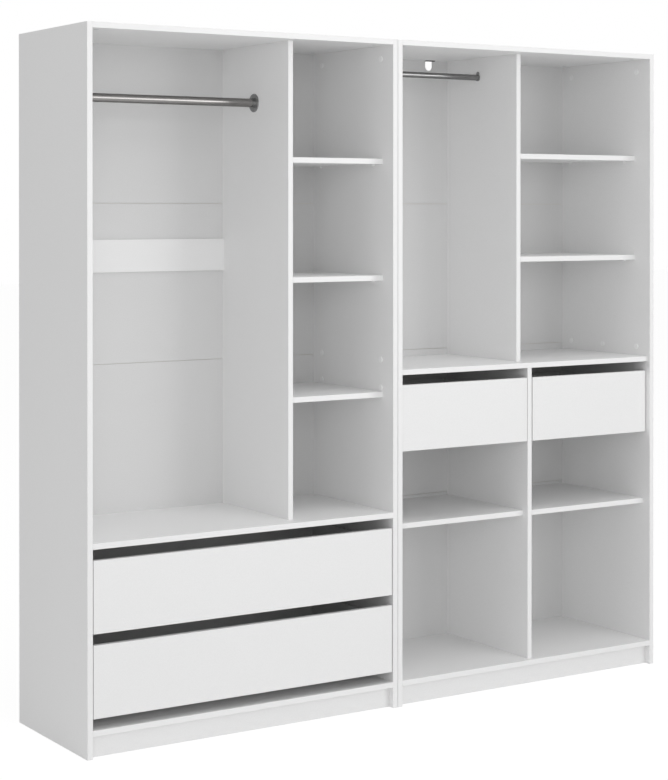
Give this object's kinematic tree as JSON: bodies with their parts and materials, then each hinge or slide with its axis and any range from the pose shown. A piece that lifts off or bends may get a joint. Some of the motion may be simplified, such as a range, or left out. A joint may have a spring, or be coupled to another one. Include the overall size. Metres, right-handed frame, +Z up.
{
  "type": "open wardrobe",
  "caption": "Open-fronted white wardrobe of two joined carcasses with hanging rails, shelves, cubbies and handleless sliding drawers.",
  "frame": {"origin": "floor level, in the middle of the width and of the depth", "axes": "+Z up, +X to the right along the front, +Y from the open front to the back"},
  "size_m": [2.0014, 0.45, 1.962],
  "materials": {
    "white_board": "satin white melamine on particle board",
    "back_sheet": "matt white lacquer on thin hardboard",
    "drawer_board": "matt white foil on particle board",
    "brushed_tube": "brushed nickel plating",
    "dark_steel": "dark satin lacquer",
    "grey_tube": "dark grey satin plating",
    "zinc_steel": "bright zinc plating",
    "bearing_steel": "polished steel balls in a plated cage",
    "white_plastic": "matt white plastic",
    "white_tape": "matt white paper tape"
  },
  "bodies": {
    "carcasses": {"left_outer_side": "white_board", "left_inner_side": "white_board", "left_top_panel": "white_board", "left_bottom_panel": "white_board", "left_mid_shelf": "white_board", "left_divider": "white_board", "left_plinth": "white_board", "lower_cubby_shelf": "white_board", "middle_cubby_shelf": "white_board", "upper_cubby_shelf": "white_board", "left_stiffener": "white_board", "right_inner_side": "white_board", "right_outer_side": "white_board", "right_top_panel": "white_board", "right_bottom_panel": "white_board", "right_mid_shelf": "white_board", "right_upper_divider": "white_board", "right_lower_divider": "white_board", "right_plinth": "white_board", "right_upper_shelf": "white_board", "right_middle_shelf": "white_board", "centre_low_shelf": "white_board", "right_low_shelf": "white_board", "left_back_sheet": "back_sheet", "right_back_sheet": "back_sheet", "left_hanging_rail": "brushed_tube", "left_rail_flanges": "dark_steel", "right_hanging_rail": "grey_tube", "right_rail_cups": "dark_steel", "wall_tie_plate": "dark_steel", "back_fold_tapes": "white_tape", "shelf_pins": "white_plastic", "cam_locks": "zinc_steel", "cam_bolts": "zinc_steel", "connector_bolts": "zinc_steel", "cover_caps": "white_plastic", "fitting_screws": "dark_steel", "cabinet_slides": "zinc_steel"},
    "left_lower_drawer": {"left_lower_drawer_front": "white_board", "left_lower_drawer_box": "drawer_board", "left_lower_drawer_bottom": "back_sheet", "left_lower_drawer_slides": "zinc_steel"},
    "left_upper_drawer": {"left_upper_drawer_front": "white_board", "left_upper_drawer_box": "drawer_board", "left_upper_drawer_bottom": "back_sheet", "left_upper_drawer_slides": "zinc_steel"},
    "centre_drawer": {"centre_drawer_front": "white_board", "centre_drawer_box": "drawer_board", "centre_drawer_bottom": "back_sheet", "centre_drawer_slides": "zinc_steel"},
    "right_drawer": {"right_drawer_front": "white_board", "right_drawer_box": "drawer_board", "right_drawer_bottom": "back_sheet", "right_drawer_slides": "zinc_steel"},
    "left_lower_ball_cages": {"left_lower_drawer_cages": "bearing_steel"},
    "left_upper_ball_cages": {"left_upper_drawer_cages": "bearing_steel"},
    "centre_ball_cages": {"centre_drawer_cages": "bearing_steel"},
    "right_ball_cages": {"right_drawer_cages": "bearing_steel"}
  },
  "joints": [
    {"name": "left_lower_drawer_pull", "type": "slide", "parent": "carcasses", "child": "left_lower_drawer", "axis": [0, -1, 0], "range_m": [0, 0.3]},
    {"name": "left_upper_drawer_pull", "type": "slide", "parent": "carcasses", "child": "left_upper_drawer", "axis": [0, -1, 0], "range_m": [0, 0.3]},
    {"name": "centre_drawer_pull", "type": "slide", "parent": "carcasses", "child": "centre_drawer", "axis": [0, -1, 0], "range_m": [0, 0.3]},
    {"name": "right_drawer_pull", "type": "slide", "parent": "carcasses", "child": "right_drawer", "axis": [0, -1, 0], "range_m": [0, 0.3]},
    {"name": "left_lower_ball_cages_roll", "type": "slide", "parent": "carcasses", "child": "left_lower_ball_cages", "axis": [0, -1, 0], "range_m": [0, 0.15]},
    {"name": "left_upper_ball_cages_roll", "type": "slide", "parent": "carcasses", "child": "left_upper_ball_cages", "axis": [0, -1, 0], "range_m": [0, 0.15]},
    {"name": "centre_ball_cages_roll", "type": "slide", "parent": "carcasses", "child": "centre_ball_cages", "axis": [0, -1, 0], "range_m": [0, 0.15]},
    {"name": "right_ball_cages_roll", "type": "slide", "parent": "carcasses", "child": "right_ball_cages", "axis": [0, -1, 0], "range_m": [0, 0.15]}
  ],
  "couplings": [
    {"joint": "left_lower_ball_cages_roll", "follows": "left_lower_drawer_pull", "ratio": 0.5},
    {"joint": "left_upper_ball_cages_roll", "follows": "left_upper_drawer_pull", "ratio": 0.5},
    {"joint": "centre_ball_cages_roll", "follows": "centre_drawer_pull", "ratio": 0.5},
    {"joint": "right_ball_cages_roll", "follows": "right_drawer_pull", "ratio": 0.5}
  ]
}
